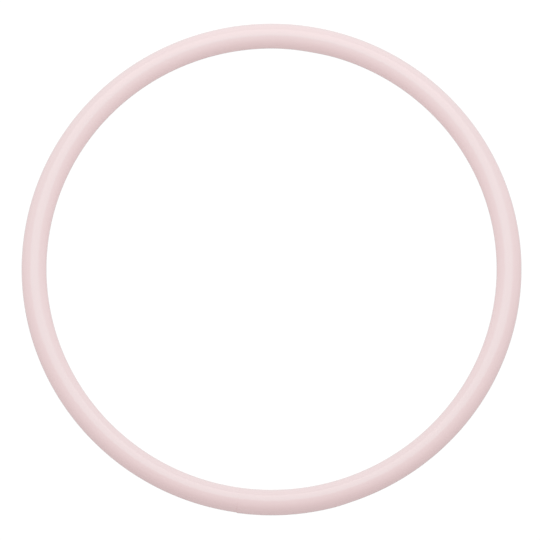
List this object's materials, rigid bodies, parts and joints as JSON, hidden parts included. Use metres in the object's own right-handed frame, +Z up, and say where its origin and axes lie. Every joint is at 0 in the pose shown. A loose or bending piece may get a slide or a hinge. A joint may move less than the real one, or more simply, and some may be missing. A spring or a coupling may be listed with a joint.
{
  "type": "rhythmic hoop",
  "caption": "Plain round hoop of plastic tube, its ends butted over an inner plug and stapled, for rolling, spinning, tossing and floor exercises.",
  "frame": {"origin": "on the floor at the hoop's centre, with the hoop lying flat", "axes": "+Z up along the hoop's axis, +X to the right seen from above; the tube's butt joint is 8 degrees clockwise of -Y seen from above"},
  "size_m": [0.5, 0.5, 0.025],
  "materials": {
    "tube_plastic": "satin, pale pink all through",
    "plug_plastic": "moulded, natural off-white",
    "staple_steel": "galvanised wire"
  },
  "bodies": {
    "root": {"hoop_tube": "tube_plastic", "joint_plug": "plug_plastic", "staple_left_near": "staple_steel", "staple_left_far": "staple_steel", "staple_right_near": "staple_steel", "staple_right_far": "staple_steel"}
  },
  "joints": []
}
